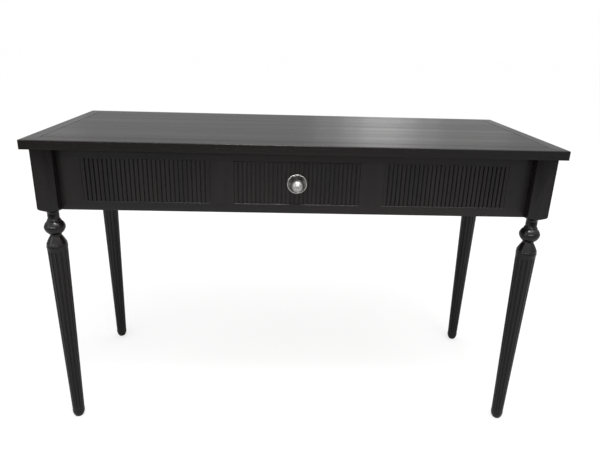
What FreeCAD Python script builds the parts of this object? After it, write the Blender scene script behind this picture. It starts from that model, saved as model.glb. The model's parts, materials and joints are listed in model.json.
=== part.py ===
import FreeCAD, Part
import math
import os

# Console table, millimetres. +X is to the right, +Y to the back, +Z up. The origin is on the floor under the
# middle of the top. The front, with the drawer, faces -Y.

# ---- turns, in degrees
quarter_turn = 90
half_turn = 180
full_turn = 360

# ---- whole table
height = 780.0
top_length = 1260.0
top_depth = 492.0
top_thickness = 23.5
top_overhang = 15.5

# ---- top: a flat panel held in a mitred, grooved border
border_width = 35.0
border_fall = 1.4
border_arris_radius = 2.0
quirk_width = 1.4
quirk_depth = 1.2
tongue_length = 8.0
tongue_thickness = 8.0
tongue_end_gap = 0.3

# ---- legs: a square block, turned below it
leg_block = 50.0
turning_allowance = 0.2
pommel_rise = 10.0
pommel_edge_radius = 29.5
pommel_edge_rise = 3.2
pommel_round = 1.7
pommel_inner_radius = 20.0
pommel_inner_drop = 1.5
pommel_hollow = 2.625
neck_radius = 13.7
neck_start_drop = 12.0
neck_end_drop = 22.0
ring_radius = 16.2
ring_drop = 27.0
ring_height = 3.2
ring_round = 0.64
ring_hollow = 0.5
bulb_drop = 45.0
bulb_upper_radius = 24.1
bulb_upper_rise = 4.5
bulb_lower_radius = 23.6
bulb_lower_drop = 5.5
bulb_bulge = 1.1
waist_radius = 13.4
waist_drop = 65.2
waist_height = 5.6
waist_flare = 0.8
dome_radius = 24.2
dome_drop = 87.4
dome_bulge = 0.4
collar_drop = 89.0
collar_height = 11.0
collar_quirk_radius = 23.6
shaft_top_radius = 24.2
shaft_bottom_radius = 15.4
foot_rise = 24.0
foot_cheek_radius = 14.6
foot_cheek_rise = 9.5
foot_radius = 11.6
flute_count = 14
flute_top_radius = 2.2
flute_bottom_radius = 1.4
flute_inset = 0.2
flute_margin = 8.0

# ---- glides nailed under the feet
glide_radius = 10.0
glide_thickness = 2.5
glide_edge_radius = 0.8
nail_radius = 1.2
nail_length = 12.0
nail_clearance = 0.1

# ---- aprons and the frieze's frame, all set back from the leg blocks' faces
apron_height = 153.5
apron_thickness = 20.0
apron_setback = 22.5
top_rail_height = 26.5
bottom_rail_height = 23.0
outer_stile_width = 53.0
inner_stile_width = 58.0
tenon_thickness = 10.0
tenon_shoulder = 5.0
apron_tenon_shoulder = 20.0
stub_length = 6.0
stub_shoulder = 4.0
mortise_end_gap = 0.3
mortise_wall = 0.7

# ---- reeded fields
reed_count = 29
reed_gap = 3.4
reed_depth = 5.0
reed_crown = 0.9
field_recess = 0.6
field_arris = 0.8
reeded_panel_thickness = 12.0

# ---- drawer
drawer_gap = 0.75
drawer_top_gap = 1.5
drawer_travel = 280.0
drawer_front_thickness = 18.0
drawer_side_thickness = 12.0
drawer_back_thickness = 12.0
drawer_tail = 34.0
drawer_lap = 8.0
drawer_housing = 4.0
drawer_bottom_thickness = 5.0
drawer_bottom_rise = 8.0
drawer_groove_depth = 5.0
drawer_bottom_gap = 0.3
catch_width = 18.0
catch_height = 32.0
catch_thickness = 12.0
catch_overlap = 12.0

# ---- what the drawer runs on
runner_height = 18.0
runner_ledge = 20.0
runner_guide_width = 26.0
runner_guide_height = 24.0
kicker_width = 40.0

# ---- corner blocks
corner_block_leg = 60.0
corner_block_height = 60.0
corner_block_drop = 20.0
corner_screw_spacing = 28.0
corner_screw_seat = 16.0
corner_screw_offset = 34.0

# ---- steel clips that hold the top down
clip_width = 20.0
clip_thickness = 1.5
clip_drop = 10.0
clip_tongue = 6.0
clip_kerf_gap = 0.2
clip_stand_off = 1.5
clip_flange = 22.0
clip_offsets = (240.0, 440.0)

# ---- screws
screw_radius = 1.9
screw_clearance = 0.15
screw_head_radius = 3.8
screw_head_height = 2.4
screw_slot_width = 1.0
screw_slot_depth = 1.1
corner_screw_length = 30.0
clip_screw_length = 16.0
catch_screw_length = 20.0
counterbore_clearance = 1.2

# ---- knob on its dished rosette
rosette_radius = 24.2
rosette_edge = 1.2
rosette_rim = 3.2
rosette_rim_width = 3.4
rosette_dish = 0.8
rosette_boss_radius = 8.0
rosette_boss = 2.4
knob_foot_radius = 7.2
knob_neck_radius = 5.6
knob_neck_length = 6.0
knob_radius = 16.4
knob_skirt = 14.6
knob_shoulder = 20.0
knob_length = 35.0
knob_foot_hollow = 0.6
knob_neck_flare = 0.9
knob_skirt_inset = 3.4
knob_skirt_round = 0.8
knob_screw_radius = 2.0
knob_screw_depth = 18.0
knob_hole_radius = 2.25
knob_thread_gap = 0.1
knob_bore_spare = 1.0
knob_screw_head_radius = 4.0
knob_screw_head_height = 2.6
washer_radius = 6.0
washer_thickness = 1.0

# ---- places worked out from the sizes above
half_length = top_length / 2
half_depth = top_depth / 2
top_bottom = height - top_thickness
apron_bottom = top_bottom - apron_height
leg_x = half_length - top_overhang - leg_block / 2
leg_y = half_depth - top_overhang - leg_block / 2
leg_inner_x = leg_x - leg_block / 2
leg_inner_y = leg_y - leg_block / 2
leg_outer_x = leg_x + leg_block / 2
leg_outer_y = leg_y + leg_block / 2
apron_outer_x = leg_outer_x - apron_setback
apron_outer_y = leg_outer_y - apron_setback
apron_inner_x = apron_outer_x - apron_thickness
apron_inner_y = apron_outer_y - apron_thickness
tenon_middle = leg_block - apron_setback - apron_thickness / 2
tenon_length = tenon_middle - tenon_thickness / 2 - mortise_wall - mortise_end_gap
field_bottom = apron_bottom + bottom_rail_height
field_top = top_bottom - top_rail_height
field_middle = (field_bottom + field_top) / 2
field_width = (2 * leg_inner_x - 2 * outer_stile_width - 2 * inner_stile_width) / 3
field_pitch = field_width + inner_stile_width
half_field = field_width / 2
crown_y = -apron_outer_y + field_recess
apron_tenon_z = (apron_bottom + apron_tenon_shoulder, top_bottom - apron_tenon_shoulder)
top_rail_tenon_z = (field_top + tenon_shoulder, top_bottom - tenon_shoulder)
bottom_rail_tenon_z = (apron_bottom + tenon_shoulder, field_bottom - tenon_shoulder)
clip_hole = (clip_stand_off + clip_thickness + clip_flange) / 2 + clip_thickness
clip_screw_top = top_bottom - clip_thickness + clip_screw_length
drawer_half_width = half_field - drawer_gap
drawer_inner_x = drawer_half_width - drawer_side_thickness
drawer_front_back = crown_y + drawer_front_thickness
drawer_back_y = -apron_inner_y + drawer_travel + catch_thickness
drawer_end_y = drawer_back_y + drawer_back_thickness + drawer_tail
drawer_side_top = field_top - drawer_top_gap
drawer_floor = field_bottom + drawer_bottom_rise
drawer_floor_top = drawer_floor + drawer_bottom_thickness
catch_top = field_top + catch_overlap

os.makedirs("parts", exist_ok=True)


def block(x_pair, y_pair, z_pair):
    """A box between two values on each axis, given in either order."""
    low = FreeCAD.Vector(min(x_pair), min(y_pair), min(z_pair))
    size = FreeCAD.Vector(max(x_pair), max(y_pair), max(z_pair)).sub(low)
    return Part.makeBox(size.x, size.y, size.z, low)


def mirror_x(shape):
    return shape.mirror(FreeCAD.Vector(0, 0, 0), FreeCAD.Vector(1, 0, 0))


def mirror_y(shape):
    return shape.mirror(FreeCAD.Vector(0, 0, 0), FreeCAD.Vector(0, 1, 0))


def cylinder(radius, start, end):
    """A round bar from one point to another."""
    start = FreeCAD.Vector(*start)
    way = FreeCAD.Vector(*end).sub(start)
    return Part.makeCylinder(radius, way.Length, start, way)


def line(start, end):
    """An edge in the plane of radius and height."""
    ends = [FreeCAD.Vector(radius, 0, rise) for radius, rise in (start, end)]
    return Part.makeLine(*ends)


def arc(start, through, end):
    """A round edge through three points in the plane of radius and height."""
    points = [FreeCAD.Vector(radius, 0, rise) for radius, rise in (start, through, end)]
    return Part.Arc(*points).toShape()


def bulged(start, end, bulge):
    """A round edge that stands off its chord by the bulge, to the left of the way from start to end."""
    run = end[0] - start[0]
    rise = end[1] - start[1]
    length = math.hypot(run, rise)
    middle_radius = (start[0] + end[0]) / 2 - rise / length * bulge
    middle_rise = (start[1] + end[1]) / 2 + run / length * bulge
    return arc(start, (middle_radius, middle_rise), end)


def turned(edges):
    """The solid that a closed outline of radius and height sweeps round the upright axis."""
    face = Part.Face(Part.Wire(edges))
    return face.revolve(FreeCAD.Vector(0, 0, 0), FreeCAD.Vector(0, 0, 1), full_turn)


def save(name, shape):
    shape.exportStep("parts/" + name + ".step")


def save_pair(name, shape):
    """A piece of the left side and its mirror image on the right side."""
    save("left_" + name, shape)
    save("right_" + name, mirror_x(shape))


def screw(length, radius=screw_radius, head_radius=screw_head_radius, head_height=screw_head_height):
    """A pan-head screw that points down, with the head's seat at the origin."""
    shank = cylinder(radius, (0, 0, -length), (0, 0, 0))
    head = cylinder(head_radius, (0, 0, 0), (0, 0, head_height))
    slot_x = (-screw_slot_width / 2, screw_slot_width / 2)
    slot = block(slot_x, (-head_radius, head_radius), (head_height - screw_slot_depth, head_height))
    return shank.fuse(head).removeSplitter().cut(slot)


def aimed(shape, place, way):
    """Turns a downward-pointing piece so that it points along way, and moves it to its place."""
    turn = FreeCAD.Rotation(FreeCAD.Vector(0, 0, -1), FreeCAD.Vector(*way))
    copy = shape.copy()
    copy.Placement = FreeCAD.Placement(FreeCAD.Vector(*place), turn)
    return copy


# ---- top
def border_section(length):
    """The border's moulded section, from its outer edge at 0 inwards, drawn out over the length given."""
    inner = border_width
    crest = top_thickness
    shoulder = crest - border_fall
    side_top = shoulder - border_arris_radius
    bend = border_arris_radius * (1 - math.sqrt(0.5))
    groove_low = (top_thickness - tongue_thickness) / 2
    groove_high = groove_low + tongue_thickness
    groove_in = inner - tongue_length - tongue_end_gap
    edges = [
        line((0, 0), (inner, 0)),
        line((inner, 0), (inner, groove_low)),
        line((inner, groove_low), (groove_in, groove_low)),
        line((groove_in, groove_low), (groove_in, groove_high)),
        line((groove_in, groove_high), (inner, groove_high)),
        line((inner, groove_high), (inner, crest)),
        line((inner, crest), (border_arris_radius, shoulder)),
        arc((border_arris_radius, shoulder), (bend, shoulder - bend), (0, side_top)),
        line((0, side_top), (0, 0)),
    ]
    return Part.Face(Part.Wire(edges)).extrude(FreeCAD.Vector(0, length, 0))


def mitred(half_along, half_across):
    """A border piece on the -X edge of a top with these half sizes: drawn out along Y, cut to mitres."""
    piece = border_section(2 * half_along)
    piece.translate(FreeCAD.Vector(-half_across, -half_along, top_bottom))
    inner = half_across - border_width
    inner_along = half_along - border_width
    corners = [(-half_across, -half_along), (-inner, -inner_along), (-inner, inner_along)]
    corners += [(-half_across, half_along), (-half_across, -half_along)]
    outline = Part.makePolygon([FreeCAD.Vector(x, y, top_bottom) for x, y in corners])
    return piece.common(Part.Face(outline).extrude(FreeCAD.Vector(0, 0, top_thickness)))


def quarter_turned(shape):
    """Turns a piece from the -X edge to the -Y edge."""
    copy = shape.copy()
    copy.rotate(FreeCAD.Vector(0, 0, 0), FreeCAD.Vector(0, 0, 1), quarter_turn)
    return copy


def clip_places():
    """Each clip's place on the inner face of its board, and the angle of the way it points."""
    places = []
    for offset in clip_offsets:
        for side in (-1, 1):
            places.append((side * offset, -apron_inner_y, quarter_turn))
            places.append((side * offset, apron_inner_y, -quarter_turn))
    places.append((-apron_inner_x, 0, 0))
    places.append((apron_inner_x, 0, half_turn))
    return places


def at_clips(shape):
    """Copies of a piece drawn at a clip that points along +X, one for each clip."""
    copies = []
    for x, y, angle in clip_places():
        copy = shape.copy()
        copy.rotate(FreeCAD.Vector(0, 0, 0), FreeCAD.Vector(0, 0, 1), angle)
        copy.translate(FreeCAD.Vector(x, y, 0))
        copies.append(copy)
    return copies


def make_top():
    inner_x = half_length - border_width
    inner_y = half_depth - border_width
    tongue_low = top_bottom + (top_thickness - tongue_thickness) / 2
    panel = block((-inner_x, inner_x), (-inner_y, inner_y), (top_bottom, height))
    long_x = inner_x + tongue_length
    long_y = inner_y + tongue_length
    tongue = block((-long_x, long_x), (-long_y, long_y), (tongue_low, tongue_low + tongue_thickness))
    quirk_z = (height - quirk_depth, height)
    flat_x = inner_x - quirk_width
    flat_y = inner_y - quirk_width
    quirk = block((-inner_x, inner_x), (-inner_y, inner_y), quirk_z)
    quirk = quirk.cut(block((-flat_x, flat_x), (-flat_y, flat_y), quirk_z))
    hole_radius = screw_radius + screw_clearance
    hole = cylinder(hole_radius, (clip_hole, 0, top_bottom), (clip_hole, 0, clip_screw_top))
    save("top_panel", panel.fuse(tongue).removeSplitter().cut([quirk] + at_clips(hole)))
    left = mitred(half_depth, half_length)
    save("top_left_border", left)
    save("top_right_border", mirror_x(left))
    front = quarter_turned(mitred(half_length, half_depth))
    save("top_front_border", front)
    save("top_back_border", mirror_y(front))


# ---- legs
def leg_outline():
    """The turned outline, as radius and height above the floor, from the foot up to the block's top."""
    blank = leg_block / 2 - turning_allowance
    corner = leg_block / math.sqrt(2)

    def level(drop):
        return apron_bottom - drop

    foot = (foot_radius, glide_thickness)
    cheek = (foot_cheek_radius, foot_cheek_rise)
    shaft_low = (shaft_bottom_radius, foot_rise)
    shaft_high = (shaft_top_radius, level(collar_drop + collar_height))
    collar_mid = (blank, level(collar_drop + collar_height / 2))
    collar_top = (collar_quirk_radius, level(collar_drop))
    dome_edge = (dome_radius, level(dome_drop))
    waist_low = (waist_radius + waist_flare, level(waist_drop + waist_height / 2))
    waist = (waist_radius, level(waist_drop))
    waist_high = (waist_radius + waist_flare, level(waist_drop - waist_height / 2))
    bulb_low = (bulb_lower_radius, level(bulb_drop + bulb_lower_drop))
    bulb = (blank, level(bulb_drop))
    bulb_high = (bulb_upper_radius, level(bulb_drop - bulb_upper_rise))
    ring_low = (ring_radius - ring_round, level(ring_drop + ring_height / 2))
    ring = (ring_radius, level(ring_drop))
    ring_high = (ring_radius - ring_round, level(ring_drop - ring_height / 2))
    neck_low = (neck_radius, level(neck_end_drop))
    neck_high = (neck_radius, level(neck_start_drop))
    inner = (pommel_inner_radius, level(pommel_inner_drop))
    edge = (pommel_edge_radius, level(-pommel_edge_rise))
    rim = (corner, level(-pommel_rise))
    return [
        line((0, glide_thickness), foot),
        arc(foot, cheek, shaft_low),
        line(shaft_low, shaft_high),
        arc(shaft_high, collar_mid, collar_top),
        line(collar_top, dome_edge),
        bulged(dome_edge, waist_low, -dome_bulge),
        arc(waist_low, waist, waist_high),
        bulged(waist_high, bulb_low, -bulb_bulge),
        arc(bulb_low, bulb, bulb_high),
        bulged(bulb_high, ring_low, -bulb_bulge),
        arc(ring_low, ring, ring_high),
        bulged(ring_high, neck_low, ring_hollow),
        line(neck_low, neck_high),
        bulged(neck_high, inner, pommel_hollow),
        line(inner, edge),
        bulged(edge, rim, -pommel_round),
        line(rim, (corner, top_bottom)),
        line((corner, top_bottom), (0, top_bottom)),
        line((0, top_bottom), (0, glide_thickness)),
    ]


def flutes():
    """The round-bottomed grooves that run down the shaft, one rib facing the front."""
    high_z = apron_bottom - collar_drop - collar_height - flute_margin
    low_z = foot_rise + flute_margin
    fall = (shaft_top_radius - shaft_bottom_radius) / (high_z + flute_margin - foot_rise)
    high = FreeCAD.Vector(shaft_top_radius - fall * flute_margin - flute_inset, 0, high_z)
    low = FreeCAD.Vector(shaft_bottom_radius + fall * flute_margin - flute_inset, 0, low_z)
    way = low.sub(high)
    groove = Part.makeCone(flute_top_radius, flute_bottom_radius, way.Length, high, way)
    ends = [Part.makeSphere(flute_top_radius, high), Part.makeSphere(flute_bottom_radius, low)]
    groove = groove.fuse(ends)
    step = full_turn / flute_count
    tools = []
    for index in range(flute_count):
        tool = groove.copy()
        angle = step * (index + 1 / 2) - quarter_turn
        tool.rotate(FreeCAD.Vector(0, 0, 0), FreeCAD.Vector(0, 0, 1), angle)
        tools.append(tool)
    return tools


def make_leg_blank():
    half = leg_block / 2
    leg = turned(leg_outline())
    leg.rotate(FreeCAD.Vector(0, 0, 0), FreeCAD.Vector(0, 0, 1), quarter_turn)
    leg = leg.common(block((-half, half), (-half, half), (0, top_bottom)))
    nail_top = glide_thickness + nail_length
    nail_hole = cylinder(nail_radius + nail_clearance, (0, 0, glide_thickness), (0, 0, nail_top))
    return leg.cut(flutes() + [nail_hole])


def rail_tenon(side, z_pair, y_sign, end_gap=0.0):
    """The tenon of a front or back board, from the leg block's inner face into the leg."""
    middle = y_sign * (apron_outer_y - apron_thickness / 2)
    thick = (middle - tenon_thickness / 2, middle + tenon_thickness / 2)
    return block((side * leg_inner_x, side * (leg_inner_x + tenon_length + end_gap)), thick, z_pair)


def side_tenon(side, y_sign, end_gap=0.0):
    """The tenon of a side apron, from the leg block's inner face into the leg."""
    middle = side * (apron_outer_x - apron_thickness / 2)
    thick = (middle - tenon_thickness / 2, middle + tenon_thickness / 2)
    run = (y_sign * leg_inner_y, y_sign * (leg_inner_y + tenon_length + end_gap))
    return block(thick, run, apron_tenon_z)


def make_legs():
    blank = make_leg_blank()
    for y_sign, end, rail_levels in (
        (-1, "front", (top_rail_tenon_z, bottom_rail_tenon_z)),
        (1, "back", (apron_tenon_z,)),
    ):
        leg = blank.copy()
        leg.translate(FreeCAD.Vector(-leg_x, y_sign * leg_y, 0))
        mortises = [rail_tenon(-1, level, y_sign, mortise_end_gap) for level in rail_levels]
        leg = leg.cut(mortises + [side_tenon(-1, y_sign, mortise_end_gap)])
        save(end + "_left_leg", leg)
        save(end + "_right_leg", mirror_x(leg))


def make_glides():
    disc = cylinder(glide_radius, (0, 0, 0), (0, 0, glide_thickness))
    low_edges = [edge for edge in disc.Edges if edge.BoundBox.ZMax < glide_thickness / 2]
    disc = disc.makeFillet(glide_edge_radius, low_edges)
    glide = disc.fuse(cylinder(nail_radius, (0, 0, glide_thickness), (0, 0, glide_thickness + nail_length)))
    glides = []
    for x in (-leg_x, leg_x):
        for y in (-leg_y, leg_y):
            copy = glide.copy()
            copy.translate(FreeCAD.Vector(x, y, 0))
            glides.append(copy)
    save("foot_glides", Part.makeCompound(glides))


# ---- aprons and the frieze's frame
def kerfs():
    """The slots that the clips' tongues enter."""
    low = top_bottom - clip_drop - clip_thickness
    run = (-clip_tongue - mortise_end_gap, 0)
    half = clip_width / 2 + mortise_end_gap
    return at_clips(block(run, (-half, half), (low, low + clip_thickness + clip_kerf_gap)))


def runner_stub(y_sign, end_gap=0.0):
    """The stub tenon of the left runner in the bottom rail or the back apron."""
    outer = -half_field - runner_guide_width
    inner = -half_field + runner_ledge
    low = field_bottom - runner_height
    z_pair = (low + stub_shoulder, field_bottom - stub_shoulder)
    run = (y_sign * apron_inner_y, y_sign * (apron_inner_y + stub_length + end_gap))
    return block((outer + stub_shoulder, inner - stub_shoulder), run, z_pair)


def kicker_stub(y_sign, end_gap=0.0):
    """The stub tenon of the left kicker in the top rail or the back apron."""
    middle = -drawer_half_width + drawer_side_thickness / 2
    half = kicker_width / 2 - stub_shoulder
    z_pair = (field_top + stub_shoulder, top_bottom - stub_shoulder)
    run = (y_sign * apron_inner_y, y_sign * (apron_inner_y + stub_length + end_gap))
    return block((middle - half, middle + half), run, z_pair)


def stub_housings(stub, y_sign):
    housing = stub(y_sign, mortise_end_gap)
    return [housing, mirror_x(housing)]


def corner_screw_levels():
    middle = top_bottom - corner_block_drop - corner_block_height / 2
    return middle + corner_screw_spacing / 2, middle - corner_screw_spacing / 2


def corner_screws():
    """The two screws of the front left corner block: one into the frieze, one into the side apron."""
    high, low = corner_screw_levels()
    along = (-apron_inner_x + corner_screw_offset, -apron_inner_y + corner_screw_seat, high)
    across = (-apron_inner_x + corner_screw_seat, -apron_inner_y + corner_screw_offset, low)
    return ((along, (0, -1, 0)), (across, (-1, 0, 0)))


def corner_pilot_holes():
    """Holes for the corner blocks' screws, in all four corners."""
    holes = []
    for place, way in corner_screws():
        end = [start + step * corner_screw_length for start, step in zip(place, way)]
        hole = cylinder(screw_radius + screw_clearance, place, end)
        holes += [hole, mirror_x(hole), mirror_y(hole), mirror_y(mirror_x(hole))]
    return holes


def field_chamfers():
    """Tools that take the arrises off the frame all round its three openings."""
    tools = []
    for middle_x in (-field_pitch, 0, field_pitch):
        rings = []
        for spread in (field_arris, 0):
            x_low = middle_x - half_field - spread
            x_high = middle_x + half_field + spread
            z_low = field_bottom - spread
            z_high = field_top + spread
            y = -apron_outer_y + field_arris - spread
            corners = [(x_low, z_low), (x_high, z_low), (x_high, z_high), (x_low, z_high), (x_low, z_low)]
            rings.append(Part.makePolygon([FreeCAD.Vector(x, y, z) for x, z in corners]))
        tools.append(Part.makeLoft(rings, True, True))
    return tools


def make_frame():
    arrises = field_chamfers()
    y_pair = (-apron_outer_y, -apron_inner_y)
    whole = (-leg_inner_x, leg_inner_x)
    top_rail = block(whole, y_pair, (field_top, top_bottom))
    top_rail = top_rail.fuse([rail_tenon(side, top_rail_tenon_z, -1) for side in (-1, 1)]).removeSplitter()
    save("front_top_rail", top_rail.cut(kerfs() + stub_housings(kicker_stub, -1) + arrises))
    bottom_rail = block(whole, y_pair, (apron_bottom, field_bottom))
    bottom_rail = bottom_rail.fuse([rail_tenon(side, bottom_rail_tenon_z, -1) for side in (-1, 1)])
    save("front_bottom_rail", bottom_rail.removeSplitter().cut(stub_housings(runner_stub, -1) + arrises))
    outer = block((-leg_inner_x, -leg_inner_x + outer_stile_width), y_pair, (field_bottom, field_top))
    outer = outer.cut(corner_pilot_holes() + arrises)
    save("front_left_outer_stile", outer)
    save("front_right_outer_stile", mirror_x(outer))
    inner = block((-half_field - inner_stile_width, -half_field), y_pair, (field_bottom, field_top))
    inner = inner.cut(arrises)
    save("front_left_inner_stile", inner)
    save("front_right_inner_stile", mirror_x(inner))


def make_aprons():
    back = block((-leg_inner_x, leg_inner_x), (apron_inner_y, apron_outer_y), (apron_bottom, top_bottom))
    back = back.fuse([rail_tenon(side, apron_tenon_z, 1) for side in (-1, 1)]).removeSplitter()
    stubs = stub_housings(kicker_stub, 1) + stub_housings(runner_stub, 1)
    save("back_apron", back.cut(kerfs() + corner_pilot_holes() + stubs))
    side = block((-apron_outer_x, -apron_inner_x), (-leg_inner_y, leg_inner_y), (apron_bottom, top_bottom))
    side = side.fuse([side_tenon(-1, y_sign) for y_sign in (-1, 1)]).removeSplitter()
    save_pair("apron", side.cut(kerfs() + corner_pilot_holes()))


# ---- reeded fields
def reeded_board(middle_x, thickness, z_pair):
    """A board carrying upright reeds: rounded crowns, narrow flat grooves between, and none at its edges."""
    valley = crown_y + reed_depth
    shoulder = crown_y + reed_crown
    back = crown_y + thickness
    pitch = field_width / reed_count
    left = middle_x - half_field
    right = middle_x + half_field

    def point(x, y):
        return FreeCAD.Vector(x, y, z_pair[0])

    edges = [Part.makeLine(point(left, back), point(left, shoulder))]
    for index in range(reed_count):
        first = index == 0
        last = index == reed_count - 1
        start = left if first else left + index * pitch + reed_gap / 2
        end = right if last else left + (index + 1) * pitch - reed_gap / 2
        if not first:
            edges.append(Part.makeLine(point(start - reed_gap, valley), point(start, valley)))
            edges.append(Part.makeLine(point(start, valley), point(start, shoulder)))
        crown = point((start + end) / 2, crown_y)
        edges.append(Part.Arc(point(start, shoulder), crown, point(end, shoulder)).toShape())
        if not last:
            edges.append(Part.makeLine(point(end, shoulder), point(end, valley)))
    edges.append(Part.makeLine(point(right, shoulder), point(right, back)))
    edges.append(Part.makeLine(point(right, back), point(left, back)))
    return Part.Face(Part.Wire(edges)).extrude(FreeCAD.Vector(0, 0, z_pair[1] - z_pair[0]))


def make_reeded_panels():
    for side, name in ((-1, "left"), (1, "right")):
        board = reeded_board(side * field_pitch, reeded_panel_thickness, (field_bottom, field_top))
        save(name + "_reeded_panel", board)


# ---- runners, kickers and stops
def make_drawer_supports():
    length = (-apron_inner_y, apron_inner_y)
    ledge_x = (-half_field - runner_guide_width, -half_field + runner_ledge)
    ledge = block(ledge_x, length, (field_bottom - runner_height, field_bottom))
    guide_x = (-half_field - runner_guide_width, -half_field)
    guide = block(guide_x, length, (field_bottom, field_bottom + runner_guide_height))
    save_pair("drawer_runner", ledge.fuse([guide, runner_stub(-1), runner_stub(1)]).removeSplitter())
    middle = -drawer_half_width + drawer_side_thickness / 2
    kicker_x = (middle - kicker_width / 2, middle + kicker_width / 2)
    kicker = block(kicker_x, length, (field_top, top_bottom))
    save_pair("drawer_kicker", kicker.fuse([kicker_stub(-1), kicker_stub(1)]).removeSplitter())
    stop_x = (-half_field, -half_field + drawer_side_thickness)
    stop = block(stop_x, (drawer_end_y, apron_inner_y), (field_bottom, field_bottom + runner_guide_height))
    save_pair("drawer_stop", stop)


# ---- corner blocks
def make_corner_blocks():
    leg_notch_x = apron_inner_x - leg_inner_x
    leg_notch_y = apron_inner_y - leg_inner_y
    outline = [(0, leg_notch_y), (leg_notch_x, leg_notch_y), (leg_notch_x, 0), (corner_block_leg, 0)]
    outline += [(0, corner_block_leg), (0, leg_notch_y)]
    top = top_bottom - corner_block_drop
    points = [FreeCAD.Vector(u, v, top - corner_block_height) for u, v in outline]
    wedge = Part.Face(Part.makePolygon(points)).extrude(FreeCAD.Vector(0, 0, corner_block_height))
    wedge.translate(FreeCAD.Vector(-apron_inner_x, -apron_inner_y, 0))
    holes = corner_pilot_holes()
    screws = []
    for place, way in corner_screws():
        mouth = [start - step * corner_block_leg for start, step in zip(place, way)]
        holes.append(cylinder(screw_head_radius + counterbore_clearance, place, mouth))
        screws.append(aimed(screw(corner_screw_length), place, way))
    wedge = wedge.cut(holes)
    save("front_left_corner_block", wedge)
    save("front_right_corner_block", mirror_x(wedge))
    save("back_left_corner_block", mirror_y(wedge))
    save("back_right_corner_block", mirror_y(mirror_x(wedge)))
    copies = []
    for piece in screws:
        copies += [piece, mirror_x(piece), mirror_y(piece), mirror_y(mirror_x(piece))]
    save("corner_block_screws", Part.makeCompound(copies))


# ---- clips and their screws
def make_clips():
    half = (-clip_width / 2, clip_width / 2)
    low = top_bottom - clip_drop - clip_thickness
    riser_x = (clip_stand_off, clip_stand_off + clip_thickness)
    tongue = block((-clip_tongue, riser_x[1]), half, (low, low + clip_thickness))
    riser = block(riser_x, half, (low, top_bottom))
    flange = block((riser_x[0], riser_x[1] + clip_flange), half, (top_bottom - clip_thickness, top_bottom))
    clip = tongue.fuse([riser, flange]).removeSplitter()
    hole = cylinder(screw_radius + screw_clearance, (clip_hole, 0, low), (clip_hole, 0, top_bottom))
    save("tabletop_clips", Part.makeCompound(at_clips(clip.cut(hole))))
    upward = aimed(screw(clip_screw_length), (clip_hole, 0, top_bottom - clip_thickness), (0, 0, 1))
    save("tabletop_screws", Part.makeCompound(at_clips(upward)))


# ---- drawer
def make_drawer_box():
    low = field_bottom + drawer_gap
    front = reeded_board(0, drawer_front_thickness, (low, field_top - drawer_gap))
    width = (-drawer_half_width, drawer_half_width)
    front = front.common(block(width, (crown_y, drawer_front_back), (low, field_top)))
    lap_y = (drawer_front_back - drawer_lap, drawer_front_back)
    lap = block((drawer_inner_x, half_field), lap_y, (apron_bottom, top_bottom))
    groove_x = drawer_inner_x + drawer_groove_depth
    groove_y = (drawer_front_back - drawer_groove_depth, drawer_end_y)
    groove = block((-groove_x, groove_x), groove_y, (drawer_floor, drawer_floor_top))
    hole = cylinder(knob_hole_radius, (0, crown_y, field_middle), (0, drawer_front_back, field_middle))
    save("drawer_front", front.cut([lap, mirror_x(lap), groove, hole]))

    side_x = (-drawer_half_width, -drawer_inner_x)
    side = block(side_x, (lap_y[0], drawer_end_y), (field_bottom, drawer_side_top))
    back_y = (drawer_back_y, drawer_back_y + drawer_back_thickness)
    housing_x = drawer_inner_x + drawer_housing
    housing = block((-housing_x, housing_x), back_y, (drawer_floor, drawer_side_top))
    side = side.cut([groove, housing])
    save("drawer_left_side", side)
    save("drawer_right_side", mirror_x(side))

    back = block((-housing_x, housing_x), back_y, (drawer_floor_top, drawer_side_top))
    screw_z = drawer_side_top - (catch_height - catch_overlap) / 2
    start = drawer_back_y - catch_thickness
    shank = (0, start + catch_screw_length, screw_z)
    hole = cylinder(screw_radius + screw_clearance, (0, start, screw_z), shank)
    save("drawer_back", back.cut(hole))

    half = groove_x - drawer_bottom_gap
    floor_y = (groove_y[0] + drawer_bottom_gap, back_y[1])
    save("drawer_bottom", block((-half, half), floor_y, (drawer_floor, drawer_floor_top)))

    catch_z = (catch_top - catch_height, catch_top)
    catch = block((-catch_width / 2, catch_width / 2), (start, drawer_back_y), catch_z)
    save("drawer_catch", catch.cut(hole))
    save("drawer_catch_screw", aimed(screw(catch_screw_length), (0, start, screw_z), (0, 1, 0)))


# ---- knob
def on_front(shape):
    """Stands a piece turned on the upright axis out of the drawer's front, at its middle."""
    return aimed(shape, (0, crown_y, field_middle), (0, 1, 0))


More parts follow.
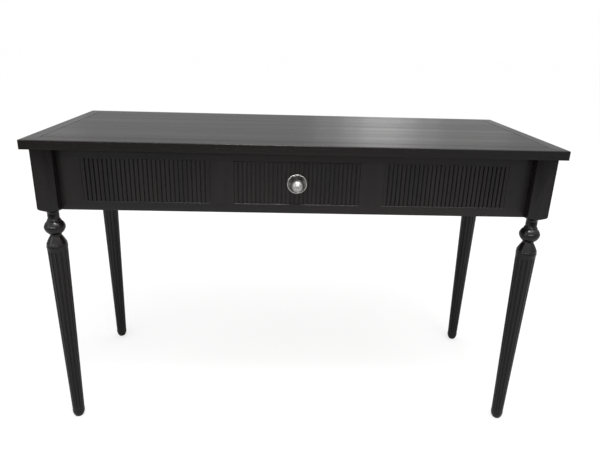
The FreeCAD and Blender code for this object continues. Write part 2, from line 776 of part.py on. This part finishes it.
def make_knob():
    hole = knob_hole_radius
    rim_middle = rosette_radius - rosette_rim_width / 2
    rim_inner = rosette_radius - rosette_rim_width
    dish_middle = (rim_inner + rosette_boss_radius) / 2
    boss_edge = (rosette_boss_radius, rosette_edge)
    rosette = turned([
        line((hole, 0), (rosette_radius, 0)),
        line((rosette_radius, 0), (rosette_radius, rosette_edge)),
        arc((rosette_radius, rosette_edge), (rim_middle, rosette_rim), (rim_inner, rosette_edge)),
        arc((rim_inner, rosette_edge), (dish_middle, rosette_dish), boss_edge),
        line(boss_edge, (rosette_boss_radius, rosette_boss)),
        line((rosette_boss_radius, rosette_boss), (hole, rosette_boss)),
        line((hole, rosette_boss), (hole, 0)),
    ])
    save("knob_rosette", on_front(rosette))
    neck_top = rosette_boss + knob_neck_length
    bore = knob_screw_radius + knob_thread_gap
    bore_end = rosette_boss + knob_screw_depth
    skirt = (knob_radius - knob_skirt_inset, knob_skirt)
    crown = (0, knob_length)
    cap_rise = knob_length - knob_shoulder
    cap_radius = (knob_radius ** 2 + cap_rise ** 2) / (2 * cap_rise)
    half_angle = math.asin(knob_radius / cap_radius) / 2
    cap_middle = (cap_radius * math.sin(half_angle), knob_length - cap_radius * (1 - math.cos(half_angle)))
    knob = turned([
        line((bore, rosette_boss), (knob_foot_radius, rosette_boss)),
        bulged((knob_foot_radius, rosette_boss), (knob_neck_radius, neck_top), knob_foot_hollow),
        bulged((knob_neck_radius, neck_top), skirt, knob_neck_flare),
        bulged(skirt, (knob_radius, knob_shoulder), -knob_skirt_round),
        arc((knob_radius, knob_shoulder), cap_middle, crown),
        line(crown, (0, bore_end)),
        line((0, bore_end), (bore, bore_end)),
        line((bore, bore_end), (bore, rosette_boss)),
    ])
    save("knob", on_front(knob))
    seat_y = drawer_front_back + washer_thickness
    length = seat_y - crown_y + rosette_boss + knob_screw_depth - knob_bore_spare
    piece = screw(length, knob_screw_radius, knob_screw_head_radius, knob_screw_head_height)
    save("knob_screw", aimed(piece, (0, seat_y, field_middle), (0, -1, 0)))
    washer = cylinder(washer_radius, (0, drawer_front_back, field_middle), (0, seat_y, field_middle))
    washer = washer.cut(cylinder(hole, (0, drawer_front_back, field_middle), (0, seat_y, field_middle)))
    save("knob_washer", washer)


make_top()
make_legs()
make_glides()
make_frame()
make_aprons()
make_reeded_panels()
make_drawer_supports()
make_corner_blocks()
make_clips()
make_drawer_box()
make_knob()
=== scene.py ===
# %% [markdown]
# # A console table with a reeded drawer front and fluted legs
#
# The joinery comes ready made: every board, leg, screw and knob is already a solid in the loaded frame.
# What is left is what makes it look like furniture. The arrises have to be eased, the timber needs its
# grain and lacquer, the knob its cast and rubbed pewter, and the whole table a room to stand in. Lengths
# are in metres, +Z is up, and the drawer opens towards -Y.

# %% Load the frame
import bmesh
import bpy
import json
import math
from mathutils import Matrix, Vector

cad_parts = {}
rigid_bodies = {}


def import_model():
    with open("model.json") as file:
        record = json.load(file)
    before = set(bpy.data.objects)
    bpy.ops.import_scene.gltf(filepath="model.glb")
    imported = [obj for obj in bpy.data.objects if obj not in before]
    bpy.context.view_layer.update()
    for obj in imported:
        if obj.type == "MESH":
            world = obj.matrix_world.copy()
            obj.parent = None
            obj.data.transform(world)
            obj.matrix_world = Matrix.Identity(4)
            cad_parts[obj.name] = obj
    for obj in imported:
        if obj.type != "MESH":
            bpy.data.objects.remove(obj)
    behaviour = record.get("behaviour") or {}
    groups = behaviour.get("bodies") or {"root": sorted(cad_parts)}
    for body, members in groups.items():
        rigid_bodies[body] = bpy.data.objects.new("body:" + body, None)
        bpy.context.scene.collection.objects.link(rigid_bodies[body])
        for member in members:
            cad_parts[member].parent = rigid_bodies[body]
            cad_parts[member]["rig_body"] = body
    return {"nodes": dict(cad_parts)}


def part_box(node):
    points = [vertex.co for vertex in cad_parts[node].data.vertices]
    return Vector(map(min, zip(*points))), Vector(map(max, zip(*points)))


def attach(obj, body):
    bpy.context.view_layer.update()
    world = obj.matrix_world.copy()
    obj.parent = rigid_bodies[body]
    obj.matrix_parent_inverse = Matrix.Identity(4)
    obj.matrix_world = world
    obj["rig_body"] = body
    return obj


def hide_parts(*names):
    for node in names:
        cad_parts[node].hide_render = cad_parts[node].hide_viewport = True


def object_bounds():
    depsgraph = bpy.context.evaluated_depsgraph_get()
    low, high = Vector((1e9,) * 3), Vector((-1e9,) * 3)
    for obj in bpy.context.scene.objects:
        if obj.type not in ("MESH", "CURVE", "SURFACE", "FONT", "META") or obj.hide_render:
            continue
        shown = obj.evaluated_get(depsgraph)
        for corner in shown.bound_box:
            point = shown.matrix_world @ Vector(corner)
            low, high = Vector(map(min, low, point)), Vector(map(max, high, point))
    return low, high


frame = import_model()
cad_low, cad_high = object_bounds()
nodes = frame["nodes"]
scene = bpy.context.scene
print("box", [round(v, 4) for v in (*cad_low, *cad_high)])

# %% [markdown]
# ## The camera
#
# The table is seen from a little above its top and a little left of its middle, from about a metre and a
# half. Three turns aim the camera: yaw round the upright, pitch down, and a slight roll. They are put
# together as matrices here, because Euler angles would mix them up. The two shifts slide the view
# sideways and up.

# %% Place the camera
MM = 0.001
camera_place = Vector((-43.3, -1411.9, 1010.1)) * MM
camera_yaw = 0.03423
camera_pitch = 0.32956
camera_roll = 0.02801
sensor_width = 36.0
lens_length = 31.134
shift_right = 0.00787
shift_up = -0.01609
nearest_seen = 0.05
furthest_seen = 60.0
level = math.radians(90)

camera_data = bpy.data.cameras.new("camera")
camera = bpy.data.objects.new("camera", camera_data)
scene.collection.objects.link(camera)
turn = Matrix.Rotation(-camera_yaw, 4, "Z") @ Matrix.Rotation(level - camera_pitch, 4, "X")
turn = turn @ Matrix.Rotation(camera_roll, 4, "Z")
camera.matrix_world = Matrix.Translation(camera_place) @ turn
camera_data.sensor_width = sensor_width
camera_data.lens = lens_length
camera_data.shift_x = shift_right
camera_data.shift_y = shift_up
camera_data.clip_start = nearest_seen
camera_data.clip_end = furthest_seen
scene.camera = camera
print("camera", [round(v, 3) for v in camera.matrix_world.translation])

# %% [markdown]
# ## Shader maths as expressions
#
# A material is a small calculation: where is this point on the board, how dark is the grain there, how
# glossy is the lacquer. Blender does such sums in nodes, and a graph of nodes is hard to read. So one
# class wraps a socket and lets it be added, subtracted and multiplied like a number, and one method makes
# any other node.

# %% A socket that can be calculated with
class Wire:
    """The output of a shader node."""

    def __init__(self, sheet, socket):
        self.sheet = sheet
        self.socket = socket

    def math(self, operation, *others):
        return self.sheet.add("ShaderNodeMath", {"operation": operation}, [self, *others])

    def __add__(self, other):
        return self.math("ADD", other)

    def __sub__(self, other):
        return self.math("SUBTRACT", other)

    def __mul__(self, other):
        return self.math("MULTIPLY", other)

    def __radd__(self, other):
        return self + other

    def __rmul__(self, other):
        return self * other

    def __rsub__(self, other):
        return self.sheet.add("ShaderNodeMath", {"operation": "SUBTRACT"}, [other, self])

    def parts(self):
        """The x, y and z of a vector."""
        names = ("X", "Y", "Z")
        return [self.sheet.add("ShaderNodeSeparateXYZ", None, [self], output=name) for name in names]

    def step(self, low, high, start=0.0, end=1.0):
        """A smooth change from start to end as this value goes from low to high."""
        settings = {"interpolation_type": "SMOOTHSTEP"}
        return self.sheet.add("ShaderNodeMapRange", settings, [self, low, high, start, end])


print("sockets can be added, subtracted and multiplied")

# %% [markdown]
# A sheet is the set of nodes of one material, or of the surroundings. Its `add` method makes a node: the
# settings come first, because some of them change which sockets there are, and then the values or the
# links. The Mix node keeps the sockets of all its kinds side by side, so those of colours are picked by
# their places.

# %% A sheet of nodes
mix_factor = 0
mix_colours = (6, 7)
mix_colour_result = 2
mix_numbers = (2, 3)


class Sheet:
    """The node sheet of a material or of the surroundings."""

    def __init__(self, owner):
        self.owner = owner
        owner.use_nodes = True
        self.tree = owner.node_tree
        self.tree.nodes.clear()

    def add(self, kind, settings=None, values=(), output=0):
        """Makes a node: its settings first, then the values or links of its sockets, by place or by name."""
        node = self.tree.nodes.new(kind)
        for name, value in (settings or {}).items():
            setattr(node, name, value)
        pairs = values.items() if isinstance(values, dict) else enumerate(values)
        for place, value in pairs:
            self.feed(node.inputs[place], value)
        return Wire(self, node.outputs[output]) if node.outputs else None

    def feed(self, socket, value):
        if isinstance(value, Wire):
            self.tree.links.new(value.socket, socket)
        else:
            socket.default_value = value

    def blend(self, amount, first, second):
        """A mix of two colours."""
        colours = [c if isinstance(c, Wire) else (*c, 1.0) for c in (first, second)]
        values = {mix_factor: amount, mix_colours[0]: colours[0], mix_colours[1]: colours[1]}
        return self.add("ShaderNodeMix", {"data_type": "RGBA"}, values, output=mix_colour_result)

    def noise(self, place, scale, detail=3.0, roughness=0.5, distortion=0.0):
        values = {"Vector": place, "Scale": scale, "Detail": detail, "Roughness": roughness}
        values["Distortion"] = distortion
        return self.add("ShaderNodeTexNoise", None, values)

    def bump(self, height, strength, distance):
        values = {"Strength": strength, "Distance": distance, "Height": height}
        return self.add("ShaderNodeBump", None, values)

    def surface(self, **sockets):
        """The principled shader, linked to the output."""
        values = {name.replace("_", " "): value for name, value in sockets.items()}
        shader = self.add("ShaderNodeBsdfPrincipled", None, values)
        self.add("ShaderNodeOutputMaterial", None, {"Surface": shader})
        return self.owner


def material_sheet(name):
    """The empty node sheet of a new material."""
    return Sheet(bpy.data.materials.new(name))


def shaded(colour, share):
    return [channel * share for channel in colour]


print("sheets ready")

# %% [markdown]
# ## Lacquered timber
#
# The table is a close-grained hardwood under a nearly black espresso stain and a clear satin lacquer. Up
# close the stain still lets the grain through: long streaks a little browner than the rest, and fine open
# pores that the lacquer dips into. Streaks are noise stretched along the board, so each board's material
# knows which way its grain runs. The lacquer itself is the gloss, so its waviness goes into a shallow
# bump and not into the colour.

# %% How the grain is drawn
grain_axes = {"x": 0, "y": 1, "z": 2}
streak_stretch = 28.0
streak_scale = 55.0
band_stretch = 9.0
band_scale = 9.0
pore_stretch = 40.0
pore_scale = 900.0
ripple_stretch = 3.0
ripple_scale = 110.0
sheen_scale = 18.0
streak_share = 0.65
pore_start = 0.60
pore_full = 0.72
pore_cover = 0.5
pore_shade = 0.55
pore_roughness = 0.12
sheen_low = 0.03
sheen_high = 0.05
lacquer_index = 1.48
lacquer_relief = 0.00018


def along(sheet, axis, stretch, place=(0.0, 0.0, 0.0)):
    """Object coordinates squeezed along the grain, so that a pattern on them becomes long streaks."""
    coordinates = sheet.add("ShaderNodeTexCoord", output="Object")
    scale = [1.0, 1.0, 1.0]
    scale[grain_axes[axis]] = 1 / stretch
    return sheet.add("ShaderNodeMapping", None, {"Vector": coordinates, "Location": place, "Scale": scale})


def espresso(name, axis, dark, brown, gloss, place=(0.0, 0.0, 0.0)):
    """Dark stained and lacquered timber with its grain along one axis."""
    sheet = material_sheet(name)
    long_way = along(sheet, axis, streak_stretch, place)
    streaks = sheet.noise(long_way, streak_scale, 4.0, 0.55, 0.3)
    bands = sheet.noise(along(sheet, axis, band_stretch, place), band_scale, 2.0)
    pores = sheet.noise(along(sheet, axis, pore_stretch, place), pore_scale, 2.0, 0.6)
    tone = streaks.step(0.36, 0.68) * streak_share + bands.step(0.35, 0.65) * (1 - streak_share)
    pits = pores.step(pore_start, pore_full)
    colour = sheet.blend(pits * pore_cover, sheet.blend(tone, dark, brown), shaded(dark, pore_shade))
    sheen = sheet.noise(long_way, sheen_scale, 2.0).step(0.3, 0.7, gloss - sheen_low, gloss + sheen_high)
    ripple = sheet.noise(along(sheet, axis, ripple_stretch, place), ripple_scale, 2.0)
    normal = sheet.bump(ripple * 0.5 - pits * 0.35 + streaks * 0.15, 0.35, lacquer_relief)
    roughness = sheen + pits * pore_roughness
    return sheet.surface(Base_Color=colour, Roughness=roughness, Normal=normal, IOR=lacquer_index)


print("grain runs along", sorted(grain_axes))

# %% [markdown]
# The legs have a darker copy of the boards' stain, a painted shade that stands in for the shade between
# their flutes, and have the sharpest shine. The frieze is rubbed down to satin. Each finish starts at its
# own place in the pattern, so that no two boards that meet show the same streaks.

# %% Make the timber finishes
darkest = (0.0070, 0.0060, 0.0062)
brownest = (0.0135, 0.0102, 0.0098)
# The legs' two colours are the boards' made darker: painted shade for the shade between their flutes.
leg_painted_shade_darkest = (0.0055, 0.0048, 0.0050)
leg_painted_shade_brownest = (0.0105, 0.0080, 0.0078)
top_gloss = 0.26
border_gloss = 0.24
satin = 0.34
leg_gloss = 0.15
timber = {
    "top_x": espresso("top_lacquer_x", "x", darkest, brownest, top_gloss),
    "border_x": espresso("border_lacquer_x", "x", darkest, brownest, border_gloss, (0.0, 0.31, 0.0)),
    "border_y": espresso("border_lacquer_y", "y", darkest, brownest, border_gloss, (0.17, 0.0, 0.0)),
    "frieze_x": espresso("frieze_lacquer_x", "x", darkest, brownest, satin, (0.0, 0.0, 0.4)),
    "frieze_z": espresso("frieze_lacquer_z", "z", darkest, brownest, satin, (0.4, 0.0, 0.0)),
    "leg_z": espresso("leg_lacquer_z", "z", leg_painted_shade_darkest, leg_painted_shade_brownest, leg_gloss, (0.0, 0.2, 0.0)),
    "apron_x": espresso("apron_lacquer_x", "x", darkest, brownest, satin, (0.0, 0.6, 0.2)),
    "apron_y": espresso("apron_lacquer_y", "y", darkest, brownest, satin, (0.6, 0.0, 0.2)),
}
print("timber finishes", sorted(timber))

# %% [markdown]
# ## Plain timber inside
#
# The drawer's box and the blocks behind the frieze are not stained. They are a pale hardwood with a thin
# clear seal, so the same kind of streaks shows as light and dark brown. Without a thick lacquer the pores
# stay open and dark.

# %% Make the plain timber
beech_light = (0.46, 0.30, 0.17)
beech_dark = (0.30, 0.17, 0.085)
ply_light = (0.56, 0.41, 0.25)
ply_dark = (0.40, 0.26, 0.14)
open_pore_cover = 0.6
open_pore_shade = 0.45
seal_index = 1.45
seal_roughness = 0.5
seal_relief = 0.0002


def plain_wood(name, axis, light, dark, place=(0.0, 0.0, 0.0)):
    """Unstained timber with its grain along one axis."""
    sheet = material_sheet(name)
    streaks = sheet.noise(along(sheet, axis, 22.0, place), 60.0, 5.0, 0.6, 0.6)
    bands = sheet.noise(along(sheet, axis, 7.0, place), 14.0, 2.0, 0.5, 1.0)
    pores = sheet.noise(along(sheet, axis, 30.0, place), 800.0, 1.0)
    tone = streaks.step(0.3, 0.7) * 0.6 + bands.step(0.3, 0.7) * 0.4
    pits = pores.step(0.60, 0.70)
    colour = sheet.blend(tone, light, dark)
    colour = sheet.blend(pits * open_pore_cover, colour, shaded(dark, open_pore_shade))
    normal = sheet.bump(streaks - pits, 0.4, seal_relief)
    roughness = seal_roughness + 0.1 * streaks
    return sheet.surface(Base_Color=colour, Roughness=roughness, Normal=normal, IOR=seal_index)


timber["drawer_x"] = plain_wood("drawer_wood_x", "x", beech_light, beech_dark)
timber["drawer_y"] = plain_wood("drawer_wood_y", "y", beech_light, beech_dark, (0.3, 0.0, 0.1))
timber["drawer_z"] = plain_wood("drawer_wood_z", "z", beech_light, beech_dark, (0.1, 0.2, 0.0))
timber["drawer_ply"] = plain_wood("drawer_ply_x", "x", ply_light, ply_dark)
timber["inner_y"] = plain_wood("inner_wood_y", "y", ply_light, beech_dark)
timber["inner_z"] = plain_wood("inner_wood_z", "z", ply_light, beech_dark)
print("finishes with the plain ones", len(timber))

# %% [markdown]
# ## Metal and nylon
#
# The knob is cast pewter: grey, rubbed bright on its high places, with the shallow dimples of the mould. The
# dish of its rosette is painted darker, a painted reflection of the dark things round it. The dish is found
# by its distance from the knob's middle, which the frame gives, so the painted dark ring follows the rosette
# if its size changes.

# %% Cast pewter
rosette_low, rosette_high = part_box("knob_rosette")
knob_centre = (rosette_low + rosette_high) / 2
rosette_radius = (rosette_high.x - rosette_low.x) / 2
dish_start = 0.33 * rosette_radius
dish_end = 0.86 * rosette_radius
dish_fade = 0.0007
# The colour of the painted dark reflection in the dish.
dish_painted_reflection = (0.26, 0.25, 0.24)
cast_relief = 0.00016
beyond_knob = (0.1, 0.2)


def pewter(name, bright, dull, shine, dish_inner, dish_outer):
    """Rubbed cast metal: a mottled shine, and a ring between two radii round the knob's middle painted
    darker, as a painted dark reflection.
    """
    sheet = material_sheet(name)
    place = sheet.add("ShaderNodeTexCoord", output="Object")
    across, _, up = place.parts()
    square_across = (across - knob_centre.x).math("POWER", 2.0)
    square_up = (up - knob_centre.z).math("POWER", 2.0)
    reach = (square_across + square_up).math("SQRT")
    inside = reach.step(dish_outer + dish_fade, dish_outer - dish_fade)
    dish = reach.step(dish_inner - dish_fade, dish_inner + dish_fade) * inside
    cloud = sheet.noise(place, 420.0, 4.0, 0.6)
    smear = sheet.noise(place, 160.0, 2.0, 0.5, 1.0)
    dimples = sheet.add("ShaderNodeTexVoronoi", {"feature": "SMOOTH_F1"}, {"Vector": place, "Scale": 900.0})
    tone = cloud.step(0.35, 0.65) * 0.5 + smear.step(0.35, 0.65) * 0.5
    # The dish ring is painted in the colour of its dark reflection.
    colour = sheet.blend(dish * (0.75 + 0.25 * tone), sheet.blend(tone, bright, dull), dish_painted_reflection)
    normal = sheet.bump(dimples * 0.7 + cloud * 0.5, 0.6, cast_relief)
    return sheet.surface(Base_Color=colour, Metallic=1.0, Roughness=shine + 0.10 * tone, Normal=normal)


knob_pewter = pewter("knob_pewter", (0.74, 0.73, 0.71), (0.44, 0.43, 0.41), 0.33, *beyond_knob)
rosette_pewter = pewter("rosette_pewter", (0.92, 0.91, 0.89), (0.70, 0.69, 0.67), 0.14, dish_start, dish_end)
print("dish from", round(dish_start / MM, 1), "to", round(dish_end / MM, 1), "mm")

# %% [markdown]
# The screws and clips are zinc plated: bright, a little blue, and slightly cloudy. The glides under the
# feet are dark nylon with a fine moulded texture.

# %% Zinc and nylon
def plated(name, colour):
    """Plated steel with a slightly cloudy shine."""
    sheet = material_sheet(name)
    place = sheet.add("ShaderNodeTexCoord", output="Object")
    cloud = sheet.noise(place, 700.0, 3.0)
    shade = sheet.blend(cloud, colour, shaded(colour, 0.75))
    normal = sheet.bump(cloud, 0.2, 0.00005)
    return sheet.surface(Base_Color=shade, Metallic=1.0, Roughness=0.28 + 0.2 * cloud, Normal=normal)


def nylon(name, colour):
    """Moulded nylon with a fine texture."""
    sheet = material_sheet(name)
    place = sheet.add("ShaderNodeTexCoord", output="Object")
    cloud = sheet.noise(place, 1500.0, 2.0)
    shade = sheet.blend(cloud, colour, shaded(colour, 1.5))
    normal = sheet.bump(cloud, 0.3, 0.00008)
    return sheet.surface(Base_Color=shade, Roughness=0.5 + 0.1 * cloud, Normal=normal)


zinc = plated("zinc_plate", (0.60, 0.60, 0.62))
glide_nylon = nylon("glide_nylon", (0.030, 0.027, 0.025))
print("small parts", zinc.name, glide_nylon.name)

# %% [markdown]
# ## Which finish goes where
#
# A board's grain runs along its length, so rails take the finish with its grain along x, the ends' aprons
# y, and stiles, reeds and legs z. Boards with a place of their own are named one by one, and the rest
# follow from what their names say they are. Whatever is left is a screw, a clip or a washer.

# %% Give every part its finish
finishes = {
    "top_panel": timber["top_x"],
    "top_front_border": timber["border_x"],
    "top_back_border": timber["border_x"],
    "top_left_border": timber["border_y"],
    "top_right_border": timber["border_y"],
    "front_top_rail": timber["frieze_x"],
    "front_bottom_rail": timber["frieze_x"],
    "back_apron": timber["apron_x"],
    "left_apron": timber["apron_y"],
    "right_apron": timber["apron_y"],
    "drawer_left_side": timber["drawer_y"],
    "drawer_right_side": timber["drawer_y"],
    "drawer_back": timber["drawer_x"],
    "drawer_bottom": timber["drawer_ply"],
    "drawer_catch": timber["drawer_z"],
    "knob": knob_pewter,
    "knob_rosette": rosette_pewter,
    "foot_glides": glide_nylon,
}
for name in nodes:
    if name in finishes:
        continue
    if "leg" in name:
        finishes[name] = timber["leg_z"]
    elif "stile" in name or "reeded" in name or name == "drawer_front":
        finishes[name] = timber["frieze_z"]
    elif "corner_block" in name and "screw" not in name:
        finishes[name] = timber["inner_z"]
    elif "runner" in name or "kicker" in name or "stop" in name:
        finishes[name] = timber["inner_y"]
    else:
        finishes[name] = zinc
for name, finish in finishes.items():
    for place in range(len(nodes[name].data.materials)):
        nodes[name].data.materials[place] = finish
print("finished nodes", len(finishes))

# %% [markdown]
# ## Easing the arrises
#
# A joiner never leaves an edge as sharp as the saw did: a pass of a plane or of sandpaper rounds it by
# about a millimetre, and that thin round is what catches the light. A Bevel modifier on the whole board
# would also round the places where two boards meet flush, and cut a groove along every joint. So each
# board is copied, its loose triangles are merged into whole faces, and only the edges that stay free are
# bevelled. A free edge is found by where it lies in the board's own box.

# %% Find the free edges
flat_angle = math.radians(0.5)
corner_angle = math.radians(60)
shortest = 0.03
near = 0.0002


def lies_low(low, high, first, second):
    return max(first.z, second.z) < low.z + near


def lies_high(low, high, first, second):
    return min(first.z, second.z) > high.z - near


def stands_at_corner(low, high, first, second):
    across = min(abs(first.x - low.x), abs(first.x - high.x))
    away = min(abs(first.y - low.y), abs(first.y - high.y))
    upright = abs(first.x - second.x) + abs(first.y - second.y) < near
    return upright and across < near and away < near


def free_edges(board, low, high, is_free):
    """The board's long sharp edges that is_free picks by their two ends."""
    found = []
    for edge in board.edges:
        if not edge.is_manifold or not edge.is_convex or edge.calc_length() < shortest:
            continue
        first, second = (vert.co for vert in edge.verts)
        if edge.calc_face_angle() > corner_angle and is_free(low, high, first, second):
            found.append(edge)
    return found


print("free edges are at least", shortest / MM, "mm long")

# %% [markdown]
# The copy loses the shading that came with the loose triangles, so it gets its own: large faces stay
# flat, and the small ones that make up the rounds, the turnings and the flutes are smooth, with a sharp
# line wherever two faces meet at more than a shallow angle.

# %% Copy a board and round its free edges
weld_distance = 0.000001
smooth_angle = math.radians(35)
largest_smooth_face = 0.001


def eased(name, width, is_free):
    """Replaces a board by a copy with its free edges rounded, and says how many there were."""
    board = bmesh.new()
    board.from_mesh(nodes[name].data)
    bmesh.ops.remove_doubles(board, verts=board.verts, dist=weld_distance)
    flat = [edge for edge in board.edges if edge.is_manifold and edge.calc_face_angle() < flat_angle]
    ends = {vert for edge in flat for vert in edge.verts}
    bmesh.ops.dissolve_limit(board, angle_limit=flat_angle, verts=list(ends), edges=flat)
    arrises = free_edges(board, *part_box(name), is_free)
    way = {"affect": "EDGES", "segments": 3, "profile": 0.5, "material": -1, "clamp_overlap": True}
    bmesh.ops.bevel(board, geom=arrises, offset=width, **way)
    bmesh.ops.recalc_face_normals(board, faces=board.faces)
    mesh = bpy.data.meshes.new("eased_" + name)
    board.to_mesh(mesh)
    board.free()
    if "custom_normal" in mesh.attributes:
        mesh.attributes.remove(mesh.attributes["custom_normal"])
    for face in mesh.polygons:
        face.use_smooth = face.area < largest_smooth_face
    mesh.set_sharp_from_angle(angle=smooth_angle)
    mesh.materials.append(finishes[name])
    piece = bpy.data.objects.new("eased_" + name, mesh)
    scene.collection.objects.link(piece)
    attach(piece, nodes[name]["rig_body"])
    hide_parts(name)
    return len(arrises)


# %% [markdown]
# The aprons and the bottom rail are free along their lower edges, the drawer's box along its upper ones,
# and each leg's square block at its four corners.

# %% Round the arrises
rail_round = 0.0009
apron_round = 0.0012
drawer_round = 0.0010
leg_round = 0.0009
eased_boards = {
    "front_bottom_rail": (rail_round, lies_low),
    "back_apron": (apron_round, lies_low),
    "left_apron": (apron_round, lies_low),
    "right_apron": (apron_round, lies_low),
    "drawer_left_side": (drawer_round, lies_high),
    "drawer_right_side": (drawer_round, lies_high),
    "drawer_back": (drawer_round, lies_high),
}
for name in nodes:
    if name.endswith("leg"):
        eased_boards[name] = (leg_round, stands_at_corner)
for name, (width, is_free) in eased_boards.items():
    print("eased", name, eased(name, width, is_free), "edges")

# %% [markdown]
# ## The room
#
# Dark lacquer is mostly reflections, so what stands round the table matters as much as its own colour. At
# this low angle the top is nearly a mirror, and shows the wall behind it. The upright faces show the
# floor in front, the higher ones a part of it that is further away. There the floor's colour is painted
# darker with distance, a painted shade for the unlit room, and lighter to the right, a painted light. The
# camera itself sees one pale floor, which still takes the table's shadow.

# %% Lay the floor
white = (1.0, 1.0, 1.0, 1.0)
floor_reach = 30.0
floor_near = 0.46
painted_far_shade = 0.05
far_line = -4.2
near_line = -1.2
right_start = 0.4
right_end = 2.2
painted_right_light = 0.10
floor_lift = 0.60

shape = bmesh.new()
bmesh.ops.create_grid(shape, x_segments=1, y_segments=1, size=floor_reach)
floor_mesh = bpy.data.meshes.new("floor")
shape.to_mesh(floor_mesh)
shape.free()
floor = bpy.data.objects.new("floor", floor_mesh)
scene.collection.objects.link(floor)

sheet = material_sheet("floor_paint")
across, away, _ = sheet.add("ShaderNodeTexCoord", output="Object").parts()
# Reflected and bounced rays see a painted floor colour: painted shade growing with distance in front, and
# painted light towards the right.
tone = away.step(far_line, near_line, painted_far_shade, floor_near)
tone = tone + across.step(right_start, right_end, 0.0, painted_right_light)
seen = sheet.add("ShaderNodeLightPath", output="Is Camera Ray")
tone = tone + seen * (floor_near - tone)
values = {"Base Color": sheet.add("ShaderNodeCombineColor", None, [tone, tone, tone])}
values.update({"Roughness": 1.0, "Specular IOR Level": 0.0})
values.update({"Emission Color": white, "Emission Strength": seen * floor_lift})
paint = sheet.add("ShaderNodeBsdfPrincipled", None, values)
sheet.add("ShaderNodeOutputMaterial", None, {"Surface": paint})
floor_mesh.materials.append(sheet.owner)
print("floor tone", floor_near, "falling to", painted_far_shade)

# %% [markdown]
# The walls are grey near the floor and white towards the ceiling. They could be built as planes, but the
# world does the same with one gradient on the height of each ray. The camera sees them as plain white.

# %% Light the walls
wall_tone = 0.42
ceiling_tone = 1.0
wall_top = 0.20
ceiling_start = 0.75

world = bpy.data.worlds.new("surround")
scene.world = world
room = Sheet(world)
_, _, rise = room.add("ShaderNodeTexCoord", output="Generated").parts()
walls = rise.step(wall_top, ceiling_start, wall_tone, ceiling_tone)
seen = room.add("ShaderNodeLightPath", output="Is Camera Ray")
levels = {mix_factor: seen, mix_numbers[0]: walls, mix_numbers[1]: 1.0}
strength = room.add("ShaderNodeMix", {"data_type": "FLOAT"}, levels)
light = room.add("ShaderNodeBackground", None, {"Color": white, "Strength": strength})
room.add("ShaderNodeOutputWorld", None, {"Surface": light})
scene.view_settings.view_transform = "Standard"
print("walls", wall_tone, "ceiling", ceiling_tone)

# %% [markdown]
# ## The lamps
#
# Two soft lamps overhead light the boards, a long strip behind the camera puts a line of light on
# everything round, and a panel at the left separates the legs' blocks. A pale window on the wall behind
# shows in the top as one broad band with soft sides. A single lamp would give it hard sides, so three of
# growing width lie over each other, and two wide dim ones lift the wall at its ends.

# %% Hang the lamps
window_depth = 3.0
window_height = 1.3
window_tall = 1.6
turn_in = 4
middle = (cad_low + cad_high) / 2


def lamp(name, place, target, width, height, power):
    """A rectangular soft lamp that faces its target."""
    data = bpy.data.lights.new(name, "AREA")
    data.shape = "RECTANGLE"
    data.size = width
    data.size_y = height
    data.energy = power
    lit = bpy.data.objects.new(name, data)
    lit.location = place
    lit.rotation_euler = (Vector(target) - Vector(place)).to_track_quat("-Z", "Y").to_euler()
    scene.collection.objects.link(lit)


lamp("ceiling", (0.6, -1.2, 2.9), middle, 2.2, 1.2, 22.0)
lamp("pendant", (-0.1, -0.9, 2.6), middle, 0.5, 0.3, 12.0)
lamp("strip", (-0.4, -4.2, 1.9), middle, 4.4, 0.25, 44.0)
lamp("left", (-3.0, -1.9, 1.5), middle, 1.2, 1.6, 8.0)
for name, across, wide, power in (
    ("window_middle", 0.82, 0.32, 0.50),
    ("window_sides", 0.80, 0.62, 0.76),
    ("window_reveal", 0.78, 1.05, 0.80),
    ("right_wall", 1.45, 0.90, 0.50),
    ("left_wall", -2.20, 0.90, 0.36),
):
    target = (across / turn_in, 0.0, cad_high.z)
    lamp(name, (across, window_depth, window_height), target, wide, window_tall, power)
